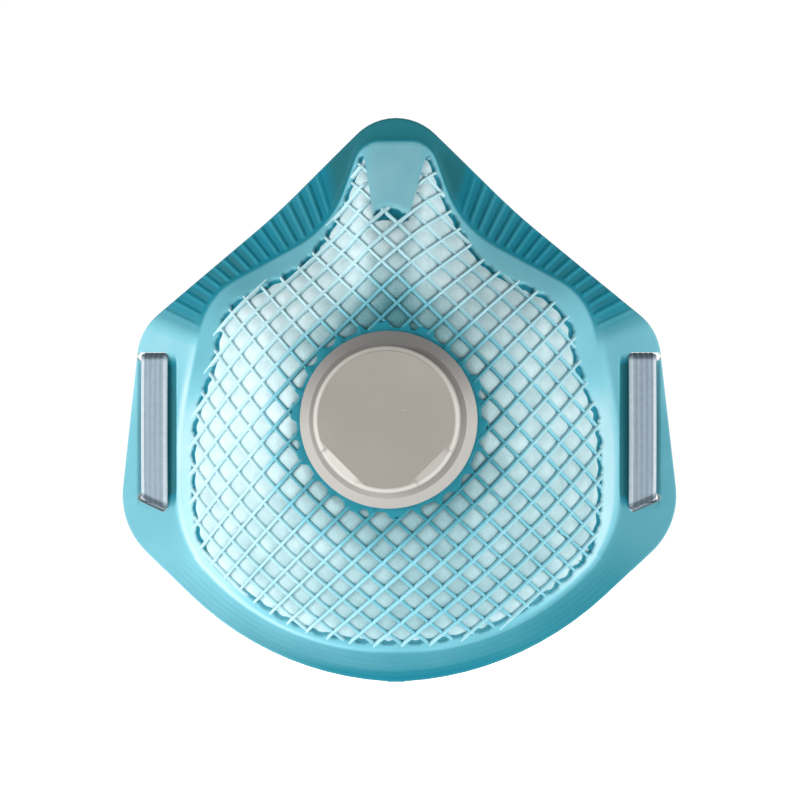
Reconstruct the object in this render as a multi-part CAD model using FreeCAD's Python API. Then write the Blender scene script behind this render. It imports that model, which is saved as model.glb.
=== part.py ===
"""Disposable dust mask: moulded net shell, filter layers, exhalation valve, elastic loop.

Millimetres. The mask stands upright as it is worn: +Z up to the nose, +Y towards the
wearer's face, X across. The origin is the middle of the face opening, in the plane of
the nose and chin rims.
"""
import FreeCAD, Part
import math
import os
from FreeCAD import Vector

# Face flange, as rounded outlines in X and Z about the mask's middle line.
# Each corner is x, z and the radius that rounds it, right half from top to bottom.
RIM_CORNERS = [(0.0, 75.2, 13.8), (29.4, 46.3, 170.0), (63.9, 18.0, 14.0),
               (69.3, -30.0, 19.0), (28.6, -68.1, 78.0)]
BASE_CORNERS = [(8.4, 64.4, 6.5), (16.0, 43.3, 26.0), (47.0, 26.6, 17.0),
                (54.3, -8.0, 100.0), (53.2, -33.0, 30.0), (31.6, -60.4, 60.0)]
RIM_BEND = 0.0032            # the rim wraps the face: y = RIM_BEND * x * x
FLANGE_DEPTH = 2.4           # front of the flange to the face seal

# Dome and valve land
VALVE_Z = -4.0               # height of the valve's axis
LAND_Y = -34.0               # front of the flat land that the valve sits on
LAND_RADIUS = 22.5
HOLE_RADIUS = 17.2
SIDE_SHAPE = 1.6             # exponent of the dome's rise at the sides and chin
NOSE_SHAPE = 1.9             # the same under the nose
NOSE_NARROWING = 6           # power of the cosine that keeps it under the nose
RIDGE_HEIGHT = 4.0           # nose ridge over the plain dome
RIDGE_Z = 37.0
RIDGE_LENGTH = 11.0
RIDGE_WIDTH = 13.0
RIDGE_RUNOUT = 4             # power with which the ridge runs out at the land

# Layers, front to back
NET_THICK = 1.3
WEB_THICK = 0.6
FILTER_THICK = 1.8
LINER_THICK = 0.8
LAYER_GAP = 0.12
FOAM_THICK = 3.2
FOAM_GAP = 0.3
FOAM_HALF_ANGLE = 52.0       # the foam spans this far each side of the nose, in degrees
FOAM_ROWS = (0.9, 3.2)       # from the middle of the flange to just inside the dome

# Exhalation valve, radii about its axis and depths along Y
BASE_RADIUS = 21.4
BASE_EDGE = 1.6              # height of the base ring's edge over the land
SKIRT_RADIUS = 19.0          # top of the base ring's slope
SKIRT_FRONT = -38.2
NECK_RADIUS = 16.8
NECK_BORE = 14.6
NECK_BACK = -26.6
PLATE_FRONT = -36.4          # the plate that carries the lip, the spokes and the pegs
PLATE_BACK = -34.8
LIP_RADIUS = 12.8
LIP_BORE = 11.9
LIP_TOP_GAP = 9.6            # the lip stops this far over the axis, under the hinge
SPOKE_WIDTH = 1.6
CAP_RADIUS = 17.7
CAP_FACE_RADIUS = 16.5
CAP_FRONT = -46.0
CAP_BEVEL = 1.4
CAP_WALL = 1.3
CAP_CONE = (2.6, 3.0)        # inside corner that backs the flats, across and deep
CAP_GAP = 0.15               # cap to skirt
VENT_ANGLES = (225.0, 315.0)
VENT_CHORD = 14.9            # distance of the vents' sloping flats from the axis
VENT_WIDTH = 11.5
VENT_FRONT = -41.7           # the windows behind the flats
VENT_DEPTH = 2.6
VENT_INNER = 12.6
VENT_SLOPE = 52.0            # degrees
VENT_CUT = (3.6, 0.4, 8.0)   # the flats' cut: outwards, inwards and down the slope
FLAP_RADIUS = 13.4
FLAP_FRONT = -37.6
FLAP_THICK = 0.45
FLAP_GAP = 0.15              # flap to lip
FLAP_HINGE = 11.0            # height of the flap's hinge line over the valve's axis
FLAP_TAB = 1.9               # flap's flat top edge over the hinge line
PEG_X = 3.6
PEG_RADIUS = 1.0
PEG_LENGTH = 2.6
PEG_ROOM = 0.4               # round each peg in the flap's holes
BRIDGE_MARGIN = 1.6          # plate round the pegs
RETAINER_RADIUS = 21.0
RETAINER_TOP = 19.4
RETAINER_EDGE = 1.4
RETAINER_THICK = 2.4
RETAINER_GAP = 0.15          # to the neck, and to the layers
TOOL_REACH = 20.0            # cutting tools run this far past what they cut

# Elastic and its slits
STRAP_WIDTH = 7.0
STRAP_THICK = 1.0
STRAP_X = 59.8               # middle of the strap on each wing
TOP_SLIT_Z = 11.4
LOW_SLIT_Z = -24.4
LOW_SLIT_SLANT = 22.0        # degrees, inner end lower
SLIT_WIDTH = 8.6
SLIT_HEIGHT = 2.0
SLIT_DEPTH = 14.0            # the cutting tool's, through flange and liner
STRAP_GAP = 0.3              # strap to flange
STRAP_FOLD = 0.6             # bevel of the strap's fold into each slit
STRAP_SINK = 2.2             # its ends go this far into the slits
HINGE_Y = 13.8               # the loops swing about the slits, just behind the flange
LOOP_START = 0.35            # the loops' ends, behind their hinge line
CROWN_DEPTH = 68.0
CROWN_DROOP = 28.0
NECK_DEPTH = 50.0
NECK_DROOP = 38.0
TWIST_SHARE = 0.17           # share of the loop's half turn in which each end twists
LOOP_SECTIONS = 36

COLUMNS = 120                # control points round the shell
DOME_STEPS = [0.08, 0.18, 0.3, 0.42, 0.55, 0.68, 0.8, 0.9, 1.0]
FLANGE_STEPS = [-1.0, -0.7, -0.35, -0.12, 0.0]
LAND_RADII = [20.5, 18.8, HOLE_RADIUS]
FIRST_WEB_ROW = 5            # the web and the filter start just inside the dome
FLANGE_LINER_ROWS = 4        # the liner lies straight behind the flange on these rows

# Depths of the layers behind the shell's front surface
WEB_DEPTH = NET_THICK + LAYER_GAP
FILTER_DEPTH = WEB_DEPTH + WEB_THICK + LAYER_GAP
LINER_DEPTH = FILTER_DEPTH + FILTER_THICK + LAYER_GAP
SHELL_DEPTH = LINER_DEPTH + LINER_THICK
FLANGE_LINER_DEPTH = FLANGE_DEPTH - LINER_THICK


# ---- outlines ----
def mirrored(corners):
    """The whole outline from its right half; a corner on the middle line stays single."""
    left = [(-x, z, radius) for x, z, radius in reversed(corners) if x > 0]
    return corners + left


def rounded(corners, steps=10):
    """Points along a closed outline whose corners (x, z, radius) are rounded by arcs."""
    points = []
    for index, (x, z, radius) in enumerate(corners):
        corner = Vector(x, 0, z)
        before = corners[index - 1]
        after = corners[(index + 1) % len(corners)]
        back = (Vector(before[0], 0, before[1]) - corner).normalize()
        ahead = (Vector(after[0], 0, after[1]) - corner).normalize()
        half = back.getAngle(ahead) / 2
        middle = (back + ahead).normalize()
        centre = corner + middle * (radius / math.sin(half))
        first = corner + back * (radius / math.tan(half)) - centre
        last = corner + ahead * (radius / math.tan(half)) - centre
        sweep = first.getAngle(last)
        for step in range(steps + 1):
            share = step / steps
            spoke = (first * math.sin((1 - share) * sweep) + last * math.sin(share * sweep))
            points.append(centre + spoke * (1 / math.sin(sweep)))
    return points


def reach(outline, angle):
    """Distance from the valve's axis to the outline, along a ray at angle from +Z to +X."""
    ray = Vector(math.sin(angle), 0, math.cos(angle))
    for index, end in enumerate(outline):
        start = outline[index - 1] - Vector(0, 0, VALVE_Z)
        stop = end - Vector(0, 0, VALVE_Z)
        side_start = ray.x * start.z - ray.z * start.x
        side_stop = ray.x * stop.z - ray.z * stop.x
        if side_start * side_stop <= 0 and side_start != side_stop and start.dot(ray) > 0:
            return (start + (stop - start) * (side_start / (side_start - side_stop))).Length
    raise ValueError("the outline doesn't surround the valve's axis")


def rim_y(x):
    return RIM_BEND * x * x


# ---- the shell's front surface ----
def flange_row(step):
    """Points round the flange, from its outer edge at -1 to the dome's base at 0."""
    row = []
    for angle, outer, inner in SPOKES:
        radius = inner + (outer - inner) * -step
        x = radius * math.sin(angle)
        row.append(Vector(x, rim_y(x) - FLANGE_DEPTH, VALVE_Z + radius * math.cos(angle)))
    return row


def dome_row(step):
    """Points round the dome, from its base at 0 to the valve's land at 1."""
    row = []
    for angle, _, inner in SPOKES:
        radius = inner + (LAND_RADIUS - inner) * step
        x = radius * math.sin(angle)
        z = VALVE_Z + radius * math.cos(angle)
        nose = max(0.0, math.cos(angle)) ** NOSE_NARROWING
        shape = SIDE_SHAPE + (NOSE_SHAPE - SIDE_SHAPE) * nose
        base_y = rim_y(inner * math.sin(angle)) - FLANGE_DEPTH
        rise = 1 - (1 - step) ** shape
        across = math.exp(-(x / RIDGE_WIDTH) ** 2)
        along = math.exp(-((z - RIDGE_Z) / RIDGE_LENGTH) ** 2)
        ridge = RIDGE_HEIGHT * across * along * rise * (1 - step ** RIDGE_RUNOUT)
        row.append(Vector(x, base_y + (LAND_Y - base_y) * rise - ridge, z))
    return row


def land_row(radius):
    """Points round the flat land under the valve."""
    row = []
    for angle, _, _ in SPOKES:
        x = radius * math.sin(angle)
        row.append(Vector(x, LAND_Y, VALVE_Z + radius * math.cos(angle)))
    return row


def offset_rows(rows, depths):
    """Each row moved back from the front surface by its depth, along the surface's normal."""
    moved = []
    for index, row in enumerate(rows):
        above = rows[max(index - 1, 0)]
        below = rows[min(index + 1, len(rows) - 1)]
        line = []
        for column, point in enumerate(row):
            inward = below[column] - above[column]
            around = row[(column + 1) % COLUMNS] - row[column - 1]
            normal = inward.cross(around).normalize()
            if normal.y < 0:
                normal = normal * -1
            line.append(point + normal * depths[index])
        moved.append(line)
    return moved


# ---- solids from rows of points ----
def smooth_surface(rows):
    """A smooth surface over rows of control points, each row closed round the shell."""
    surface = Part.BSplineSurface()
    across = min(3, len(rows) - 1)
    row_mults = [across + 1] + [1] * (len(rows) - across - 1) + [across + 1]
    column_mults = [1] * (len(rows[0]) + 1)
    surface.buildFromPolesMultsKnots(
        rows, row_mults, column_mults,
        [float(knot) for knot in range(len(row_mults))],
        [float(knot) for knot in range(len(column_mults))],
        False, True, across, 3)
    return surface


def shell_solid(front, back):
    """The solid between two closed surfaces given by matching rows of control points."""
    pairs = [front, back, [front[0], back[0]], [front[-1], back[-1]]]
    shell = Part.makeShell([smooth_surface(rows).toShape() for rows in pairs])
    shell.sewShape()
    solid = Part.makeSolid(shell)
    if solid.Volume < 0:
        solid.reverse()
    return solid


# ---- turned and prismatic pieces of the valve ----
def turned(profile):
    """A ring turned about the valve's axis, from (radius, y) corners."""
    points = [Vector(radius, y, VALVE_Z) for radius, y in profile]
    face = Part.Face(Part.makePolygon(points + points[:1]))
    return face.revolve(Vector(0, 0, VALVE_Z), Vector(0, 1, 0), 360)


def valve_disc(radius, front, back):
    return Part.makeCylinder(radius, back - front, Vector(0, front, VALVE_Z), Vector(0, 1, 0))


def block(low, high):
    low = Vector(*low)
    return Part.makeBox(high[0] - low.x, high[1] - low.y, high[2] - low.z, low)


def cross_pin(radius, x, front, length):
    """A pin or hole along Y on the flap's hinge line, from its front face back."""
    root = Vector(x, front, VALVE_Z + FLAP_HINGE)
    return Part.makeCylinder(radius, length, root, Vector(0, 1, 0))


def make_valve_seat():
    """Base ring with its neck, and the plate with lip, spokes and pegs for the flap."""
    base_back = LAND_Y - RETAINER_GAP
    cap_room = CAP_RADIUS - CAP_WALL - CAP_GAP
    body = turned([(NECK_BORE, NECK_BACK), (NECK_RADIUS, NECK_BACK),
                   (NECK_RADIUS, base_back), (BASE_RADIUS, base_back),
                   (BASE_RADIUS, LAND_Y - BASE_EDGE), (SKIRT_RADIUS, SKIRT_FRONT),
                   (cap_room, SKIRT_FRONT), (cap_room, PLATE_FRONT),
                   (LIP_BORE, PLATE_FRONT), (LIP_BORE, PLATE_BACK),
                   (NECK_BORE, PLATE_BACK)])
    lip_front = FLAP_FRONT + FLAP_THICK + FLAP_GAP
    lip = turned([(LIP_BORE, PLATE_BACK), (LIP_RADIUS, PLATE_BACK),
                  (LIP_RADIUS, lip_front), (LIP_BORE, lip_front)])
    under_hinge = VALVE_Z + LIP_TOP_GAP
    lip = lip.cut(block((-TOOL_REACH, lip_front - 1, under_hinge),
                        (TOOL_REACH, PLATE_FRONT, under_hinge + TOOL_REACH)))
    half = SPOKE_WIDTH / 2
    spokes = [block((-LIP_RADIUS, PLATE_FRONT, VALVE_Z - half),
                    (LIP_RADIUS, PLATE_BACK, VALVE_Z + half)),
              block((-half, PLATE_FRONT, VALVE_Z - LIP_RADIUS),
                    (half, PLATE_BACK, VALVE_Z + LIP_RADIUS))]
    bridge_side = PEG_X + BRIDGE_MARGIN
    bridge = block((-bridge_side, PLATE_FRONT, VALVE_Z + FLAP_HINGE - BRIDGE_MARGIN),
                   (bridge_side, PLATE_BACK, VALVE_Z + LIP_RADIUS))
    peg_front = PLATE_FRONT + PEG_ROOM - PEG_LENGTH
    pegs = [cross_pin(PEG_RADIUS, x, peg_front, PEG_LENGTH) for x in (-PEG_X, PEG_X)]
    return body.fuse([lip, bridge] + spokes + pegs).removeSplitter()


def make_diaphragm():
    """The silicone flap: a disc with a flat top edge and a hole for each peg."""
    flap = valve_disc(FLAP_RADIUS, FLAP_FRONT, FLAP_FRONT + FLAP_THICK)
    top = VALVE_Z + FLAP_HINGE + FLAP_TAB
    flap = flap.cut(block((-TOOL_REACH, FLAP_FRONT - 1, top),
                          (TOOL_REACH, FLAP_FRONT + 1, top + TOOL_REACH)))
    for x in (-PEG_X, PEG_X):
        flap = flap.cut(cross_pin(PEG_RADIUS + PEG_ROOM, x, FLAP_FRONT - 1, 2))
    return flap


def make_valve_cover():
    """The round cap, with two windows below that sloping flats in its rim lead into."""
    back = SKIRT_FRONT - CAP_GAP
    inner = CAP_RADIUS - CAP_WALL
    ceiling = CAP_FRONT + CAP_WALL
    cap = turned([(0, CAP_FRONT), (CAP_FACE_RADIUS, CAP_FRONT),
                  (CAP_RADIUS, CAP_FRONT + CAP_BEVEL), (CAP_RADIUS, back), (inner, back),
                  (inner, ceiling + CAP_CONE[1]), (inner - CAP_CONE[0], ceiling),
                  (0, ceiling)])
    centre = Vector(0, 0, VALVE_Z)
    for angle in VENT_ANGLES:
        turn = math.radians(angle)
        out = Vector(math.cos(turn), 0, math.sin(turn))
        window = block((-VENT_WIDTH / 2, VENT_FRONT, VENT_INNER),
                       (VENT_WIDTH / 2, VENT_FRONT + VENT_DEPTH, TOOL_REACH))
        window.rotate(Vector(0, 0, 0), Vector(0, 1, 0), 90 - angle)
        window.translate(centre)
        flat = block((-VENT_WIDTH / 2, -VENT_CUT[0], 0),
                     (VENT_WIDTH / 2, VENT_CUT[1], VENT_CUT[2]))
        flat.rotate(Vector(0, 0, 0), Vector(1, 0, 0), -VENT_SLOPE)
        flat.rotate(Vector(0, 0, 0), Vector(0, 1, 0), 90 - angle)
        flat.translate(centre + out * VENT_CHORD + Vector(0, CAP_FRONT, 0))
        cap = cap.cut(window).cut(flat)
    return cap


def make_valve_retainer():
    """The ring inside the mask that clamps the layers to the valve's base."""
    front = LAND_Y + SHELL_DEPTH + RETAINER_GAP
    back = front + RETAINER_THICK
    bore = NECK_RADIUS + RETAINER_GAP
    return turned([(bore, front), (RETAINER_RADIUS, front),
                   (RETAINER_RADIUS, front + RETAINER_EDGE), (RETAINER_TOP, back),
                   (bore, back)])


# ---- elastic ----
def wing_tilt():
    """Angle of the wing under the strap, from the X axis towards +Y."""
    return math.atan(2 * RIM_BEND * STRAP_X)


def slit_cutter(side, z, slant):
    """The tool for one slit; side is -1 on the left wing and 1 on the right."""
    tool = block((-SLIT_WIDTH / 2, -SLIT_DEPTH / 2, -SLIT_HEIGHT / 2),
                 (SLIT_WIDTH / 2, SLIT_DEPTH / 2, SLIT_HEIGHT / 2))
    tool.rotate(Vector(0, 0, 0), Vector(0, 1, 0), -slant * side)
    tool.rotate(Vector(0, 0, 0), Vector(0, 0, 1), math.degrees(wing_tilt()) * side)
    tool.translate(Vector(side * STRAP_X, rim_y(STRAP_X) - FLANGE_DEPTH / 2, z))
    return tool


def slit_cutters():
    tools = []
    for side in (-1, 1):
        tools.append(slit_cutter(side, TOP_SLIT_Z, 0.0))
        tools.append(slit_cutter(side, LOW_SLIT_Z, LOW_SLIT_SLANT))
    return tools


def make_strap_pass(side):
    """The strap down the front of one wing, with its two ends turned back into the slits."""
    tilt = wing_tilt()
    across = Vector(math.cos(tilt), side * math.sin(tilt), 0)
    forward = Vector(side * math.sin(tilt), -math.cos(tilt), 0)
    surface = Vector(side * STRAP_X, rim_y(STRAP_X) - FLANGE_DEPTH, 0)
    half_slant = STRAP_WIDTH / 2 * math.tan(math.radians(LOW_SLIT_SLANT))
    half = STRAP_THICK / 2
    face = STRAP_GAP + STRAP_THICK
    top = TOP_SLIT_Z
    wires = []
    for edge in (-1, 1):
        low = LOW_SLIT_Z + edge * side * half_slant
        profile = [(-STRAP_SINK, top + half), (face - STRAP_FOLD, top + half),
                   (face, top + half - STRAP_FOLD), (face, low - half + STRAP_FOLD),
                   (face - STRAP_FOLD, low - half), (-STRAP_SINK, low - half),
                   (-STRAP_SINK, low + half), (STRAP_GAP, low + half),
                   (STRAP_GAP, top - half), (-STRAP_SINK, top - half)]
        start = surface + across * (edge * STRAP_WIDTH / 2)
        points = [start + forward * out + Vector(0, 0, z) for out, z in profile]
        wires.append(Part.makePolygon(points + points[:1]))
    return Part.makeLoft(wires, True, True)


def make_loop(slit_z, half_width, depth, droop):
    """A band from slit to slit behind the mask; its ends twist a quarter turn each way."""
    sections = []
    for index in range(LOOP_SECTIONS + 1):
        turn = math.pi * index / LOOP_SECTIONS
        centre = Vector(half_width * math.cos(turn), depth * math.sin(turn), 0)
        tangent = Vector(-half_width * math.sin(turn), depth * math.cos(turn), 0).normalize()
        normal = Vector(0, 0, 1)
        share = min(1.0, min(turn, math.pi - turn) / (math.pi * TWIST_SHARE))
        twist = math.pi / 2 * share * share * (3 - 2 * share)
        side = 1 if turn < math.pi / 2 else -1
        radial = tangent.cross(normal)
        width = radial * math.cos(twist) + normal * (side * math.sin(twist))
        if turn > math.pi / 2:
            width = width * -1
        thin = width.cross(tangent)
        half_w = width * (STRAP_WIDTH / 2)
        half_t = thin * (STRAP_THICK / 2)
        corners = [centre + half_w + half_t, centre - half_w + half_t,
                   centre - half_w - half_t, centre + half_w - half_t]
        sections.append(Part.makePolygon(corners + corners[:1]))
    band = Part.makeLoft(sections, True, True)
    band.translate(Vector(0, HINGE_Y + LOOP_START, slit_z))
    band.rotate(Vector(0, HINGE_Y, slit_z), Vector(1, 0, 0), -droop)
    return band


# ---- the shell's control points ----
RIM = rounded(mirrored(RIM_CORNERS))
BASE = rounded(mirrored(BASE_CORNERS))
SPOKES = []
for column in range(COLUMNS):
    spoke_angle = 2 * math.pi * column / COLUMNS
    SPOKES.append((spoke_angle, reach(RIM, spoke_angle), reach(BASE, spoke_angle)))

SHELL_ROWS = [flange_row(step) for step in FLANGE_STEPS]
SHELL_ROWS += [dome_row(step) for step in DOME_STEPS]
SHELL_ROWS += [land_row(radius) for radius in LAND_RADII]
LINER_FRONT = [FLANGE_LINER_DEPTH] * FLANGE_LINER_ROWS
LINER_FRONT += [LINER_DEPTH] * (len(SHELL_ROWS) - FLANGE_LINER_ROWS)
LINER_BACK = [depth + LINER_THICK for depth in LINER_FRONT]


# ---- the shell's layers ----
def layer(first_row, front_depths, back_depths):
    """A layer of the shell between two depths, from its first row to the valve's hole."""
    front = offset_rows(SHELL_ROWS, front_depths)[first_row:]
    back = offset_rows(SHELL_ROWS, back_depths)[first_row:]
    return shell_solid(front, back)


def even_layer(first_row, depth, thick):
    count = len(SHELL_ROWS)
    return layer(first_row, [depth] * count, [depth + thick] * count)


def make_nose_foam():
    """A cushion strip behind the top of the flange, from cheek to cheek over the nose."""
    liner_back = smooth_surface(offset_rows(SHELL_ROWS, LINER_BACK))
    half = FOAM_HALF_ANGLE / 360 * COLUMNS
    strip = liner_back.toShape(*FOAM_ROWS, -half - 1, half - 1)
    strip.translate(Vector(0, FOAM_GAP, 0))
    return strip.extrude(Vector(0, FOAM_THICK, 0))


def build():
    parts = {
        "outer_net": even_layer(0, 0, NET_THICK),
        "cover_web": even_layer(FIRST_WEB_ROW, WEB_DEPTH, WEB_THICK),
        "filter_media": even_layer(FIRST_WEB_ROW, FILTER_DEPTH, FILTER_THICK),
        "inner_liner": layer(0, LINER_FRONT, LINER_BACK),
        "nose_foam": make_nose_foam(),
        "valve_seat": make_valve_seat(),
        "valve_diaphragm": make_diaphragm(),
        "valve_cover": make_valve_cover(),
        "valve_retainer": make_valve_retainer(),
        "strap_left_pass": make_strap_pass(-1),
        "strap_right_pass": make_strap_pass(1),
        "crown_band": make_loop(TOP_SLIT_Z, STRAP_X, CROWN_DEPTH, CROWN_DROOP),
        "neck_band": make_loop(LOW_SLIT_Z, STRAP_X, NECK_DEPTH, NECK_DROOP),
    }
    for tool in slit_cutters():
        parts["outer_net"] = parts["outer_net"].cut(tool)
        parts["inner_liner"] = parts["inner_liner"].cut(tool)
    return parts


os.makedirs("parts", exist_ok=True)
for name, shape in build().items():
    solids = shape.Solids
    box = shape.BoundBox
    print(f"{name}: {len(solids)} solid, valid {shape.isValid()}, {shape.Volume:.1f} mm3,",
          f"x {box.XMin:.1f}..{box.XMax:.1f} y {box.YMin:.1f}..{box.YMax:.1f}",
          f"z {box.ZMin:.1f}..{box.ZMax:.1f}")
    Part.makeCompound(solids).exportStep(f"parts/{name}.step")
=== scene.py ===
"""Looks of the disposable dust mask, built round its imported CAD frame.

Shapes are worked out in millimetres, and mesh_object turns them into metres.
"""
import math
import bpy
import numpy as np
from mathutils import Matrix, Vector


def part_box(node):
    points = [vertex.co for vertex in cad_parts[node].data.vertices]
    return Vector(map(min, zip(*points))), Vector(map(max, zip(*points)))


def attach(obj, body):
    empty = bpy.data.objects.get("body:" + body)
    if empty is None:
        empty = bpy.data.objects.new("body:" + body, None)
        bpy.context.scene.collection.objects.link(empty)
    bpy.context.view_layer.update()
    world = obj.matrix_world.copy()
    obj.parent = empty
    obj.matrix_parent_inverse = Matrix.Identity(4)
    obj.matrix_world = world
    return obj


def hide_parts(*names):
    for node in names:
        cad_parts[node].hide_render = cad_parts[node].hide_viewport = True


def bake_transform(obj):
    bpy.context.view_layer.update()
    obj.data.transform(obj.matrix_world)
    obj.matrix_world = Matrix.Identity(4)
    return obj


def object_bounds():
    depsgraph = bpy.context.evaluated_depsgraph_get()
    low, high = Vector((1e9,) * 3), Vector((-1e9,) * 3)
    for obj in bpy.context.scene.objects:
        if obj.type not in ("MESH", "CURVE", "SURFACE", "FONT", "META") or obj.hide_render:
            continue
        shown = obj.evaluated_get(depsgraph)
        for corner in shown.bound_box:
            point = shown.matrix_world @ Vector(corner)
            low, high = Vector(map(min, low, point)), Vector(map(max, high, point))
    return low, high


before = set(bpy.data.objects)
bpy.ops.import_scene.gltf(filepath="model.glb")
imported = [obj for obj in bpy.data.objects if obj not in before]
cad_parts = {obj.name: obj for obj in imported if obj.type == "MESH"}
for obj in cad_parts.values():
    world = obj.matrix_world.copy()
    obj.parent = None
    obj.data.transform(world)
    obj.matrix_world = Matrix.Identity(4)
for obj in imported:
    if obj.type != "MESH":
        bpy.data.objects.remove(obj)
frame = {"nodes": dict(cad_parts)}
cad_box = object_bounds()

MM = 0.001

# Camera, light and stage, in metres
CAMERA_DISTANCE = 2.4
CAMERA_AZIMUTH = 3.0         # degrees; positive is towards +X
CAMERA_AIM = (0.0009, 0.0, 0.00075)
SENSOR_WIDTH = 36.0          # millimetres, as the camera counts it
VIEW_WIDTH = 0.1955          # width of what the camera sees at the mask's face opening
WORLD_STRENGTH = 1.03
CEILING = 0.4                # shares of the world's strength
FRONT_WALL = 0.3
CEILING_FADE = (0.15, 0.8)   # where each of them comes in, as a share of straight up
WALL_FADE = (-0.5, -0.9)     # and of straight to the front
TABLE_GLOW = 0.9             # the floor is a light table
FLOOR_RADIUS = 1.6
FLOOR_CORNERS = 96
FLOOR_GAP = 0.0006           # between the mask and the floor

# The shell's shape, as the CAD model has it, in millimetres
RIM_CORNERS = [(0.0, 75.2, 13.8), (29.4, 46.3, 170.0), (63.9, 18.0, 14.0),
               (69.3, -30.0, 19.0), (28.6, -68.1, 78.0)]
BASE_CORNERS = [(8.4, 64.4, 6.5), (16.0, 43.3, 26.0), (47.0, 26.6, 17.0),
                (54.3, -8.0, 100.0), (53.2, -33.0, 30.0), (31.6, -60.4, 60.0)]
RIM_BEND = 0.0032
FLANGE_DEPTH = 2.4
VALVE_Z = -4.0
LAND_Y = -34.0
LAND_RADIUS = 22.5
HOLE_RADIUS = 17.2
SIDE_SHAPE = 1.6
NOSE_SHAPE = 1.9
RIDGE_HEIGHT = 4.0
RIDGE_Z = 37.0
RIDGE_LENGTH = 11.0
RIDGE_WIDTH = 13.0
RIDGE_RUNOUT = 4             # a higher power keeps the ridge further up the dome
NOSE_NARROWING = 6           # a higher power keeps the nose's shape to a narrower sector
BASE_FILLET = 0.035          # how softly the dome leaves the flange, as a share of its width

ARC_STEPS = 12               # of each rounded corner of the outlines

NET_THICK = 1.3
LINER_DEPTH = 4.06
LINER_THICK = 0.8

# The net
STRAND_PITCH = 5.35
STRAND_WIDTH = 0.84
STRAND_HEIGHT = 1.1
STRAND_OVERLAP = 1.0         # the strands run out onto the border by this much
STRAND_SECTION = [(-0.5, 0.95), (-0.48, 0.4), (-0.33, 0.1), (0, 0), (0.33, 0.1), (0.48, 0.4),
                  (0.5, 0.95)]
FALLING_DEPTH = -0.1         # of each family behind the shell's front surface
RISING_DEPTH = 0.12
END_SINK = 0.9               # the strands' ends dip into the border and the collar
END_LENGTH = 1.4
NET_STRETCH = 0.45           # extra stretch of the net down the dome's side, at its base
PATCH_END_RADIUS = 50.5      # lower edge of the smooth patch on the nose, from the valve's axis
NOSE_HOLE_X = -0.9           # the oval hole under that patch
NOSE_HOLE_HALF = 3.5
NOSE_HOLE_RISE = 1.2
NOSE_HOLE_DROP = 1.2
CLOSED_REACH = 0.65          # the border runs this far further in between its open cells
CLOSED_CHIN = 0.4            # and this far at the chin
RECESS_DEPTH = 0.95          # of the open cells
COLLAR_RADIUS = 22.3         # of the net's solid ring under the valve
COLLAR_FILL = 1.6            # it reaches this much further out where strands meet it
WEB_REST = 1.15              # depth of the cover web where a strand presses on it
WEB_BULGE = 0.8
WEB_THICK = 0.5

# Ribs on the upper flange
RIB_PITCH = 3.15
RIB_HEIGHT = 0.5
RIB_RADIUS = 61.0            # rib pitch is measured at this distance from the valve's axis
RIM_ROUNDING = 0.7
BORDER_ROUNDING = 0.4
LINE_PITCH = 1.25            # the faint lines along the chin
LINE_HEIGHT = 0.025

# Elastic
STRAP_WIDTH = 7.0
STRAP_THICK = 1.0
STRAP_X = 59.8
TOP_SLIT_Z = 11.4
LOW_SLIT_Z = -24.4
LOW_SLIT_SLANT = 22.0
HINGE_Y = 13.8
CROWN_DEPTH = 68.0
CROWN_DROOP = 28.0
NECK_DEPTH = 50.0
NECK_DROOP = 38.0
CHANNEL_DEPTH = 0.75         # of the channel that a strap lies in
SLIT_WIDTH = 8.6
SLIT_HEIGHT = 2.0
SLIT_REACH = 9.0             # the cutter's, to each side of the wing
STRAP_SINK = 2.2             # a pass's ends go this far into the slits
STRAP_FOLD = 0.75            # radius of its folds there
LOOP_START = 0.35            # behind the line that the loops swing about
TWIST_SHARE = 0.17           # of a loop, at each end, over which it twists on edge
LOOP_LEAD = 3.4              # a loop's ends start this far in front of that line

# The liner's crimped seal
LINER_INSET = 0.5            # from the rim
CRIMP_INSET = 2.4
CRIMP_WIDTH = 0.55
CRIMP_HEIGHT = 0.28
CRIMP_PITCH = 2.2
CRIMP_RADIUS = 60            # crimp pitch is measured at this distance from the valve's axis
LINER_NUDGE = 1.5            # smooths the liner's normals

# Finishes; colours are 8-bit
TEAL_STOPS = [(0.0, (180, 214, 220)), (0.2, (118, 185, 199)), (0.45, (80, 149, 163)),
              (0.7, (36, 127, 142)), (0.95, (0, 118, 138)), (1.0, (24, 104, 114))]
WEB_STOPS = [(0.0, (203, 224, 228)), (0.4, (160, 189, 193)), (1.0, (66, 122, 128))]
VALVE_STOPS = [(0.3, (155, 151, 146)), (0.7, (163, 159, 154))]
COVER_STOPS = [(0.08, (142, 136, 130)), (0.24, (150, 144, 138)), (0.9, (184, 181, 174))]
SILICONE_STOPS = [(0.3, (196, 190, 178)), (0.7, (210, 205, 194))]
ELASTIC_STOPS = [(0.0, (70, 84, 92)), (0.2, (122, 136, 147)), (0.5, (146, 160, 173)),
                 (0.9, (205, 212, 216))]
WARP_PITCH = 0.7
WEFT_PITCH = 0.55
SELVEDGE = 2.6               # starts this far from the strap's middle
# Painted shade: the valve's base ring is coloured darker towards its top
PAINTED_SHADE_FROM = -2.0             # over the valve's axis, where the painted shade starts
PAINTED_SHADE_RISE = 20.0
PAINTED_SHADE_COLOUR = (122, 120, 118)
# Painted highlight in a thin ring along the valve cover's front edge
HIGHLIGHT_RADIUS = 17.1
HIGHLIGHT_WIDTH = 0.62
FLAT_CHORD = 14.8            # of the cover's two sloping flats, from its axis; painted light makes them paler
GATE_MARK = (4.6, 2.4)       # place of the mould's gate on the cover, from its axis
GATE_RADIUS = 0.4
GATE_PROFILE = [(1.0, -0.05), (0.85, 0.08), (0.5, 0.15), (0.2, 0.17)]
GATE_CORNERS = 20
VALVE_EDGE = 0.16            # bevels on the CAD nodes
FOAM_EDGE = 1.2


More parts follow.
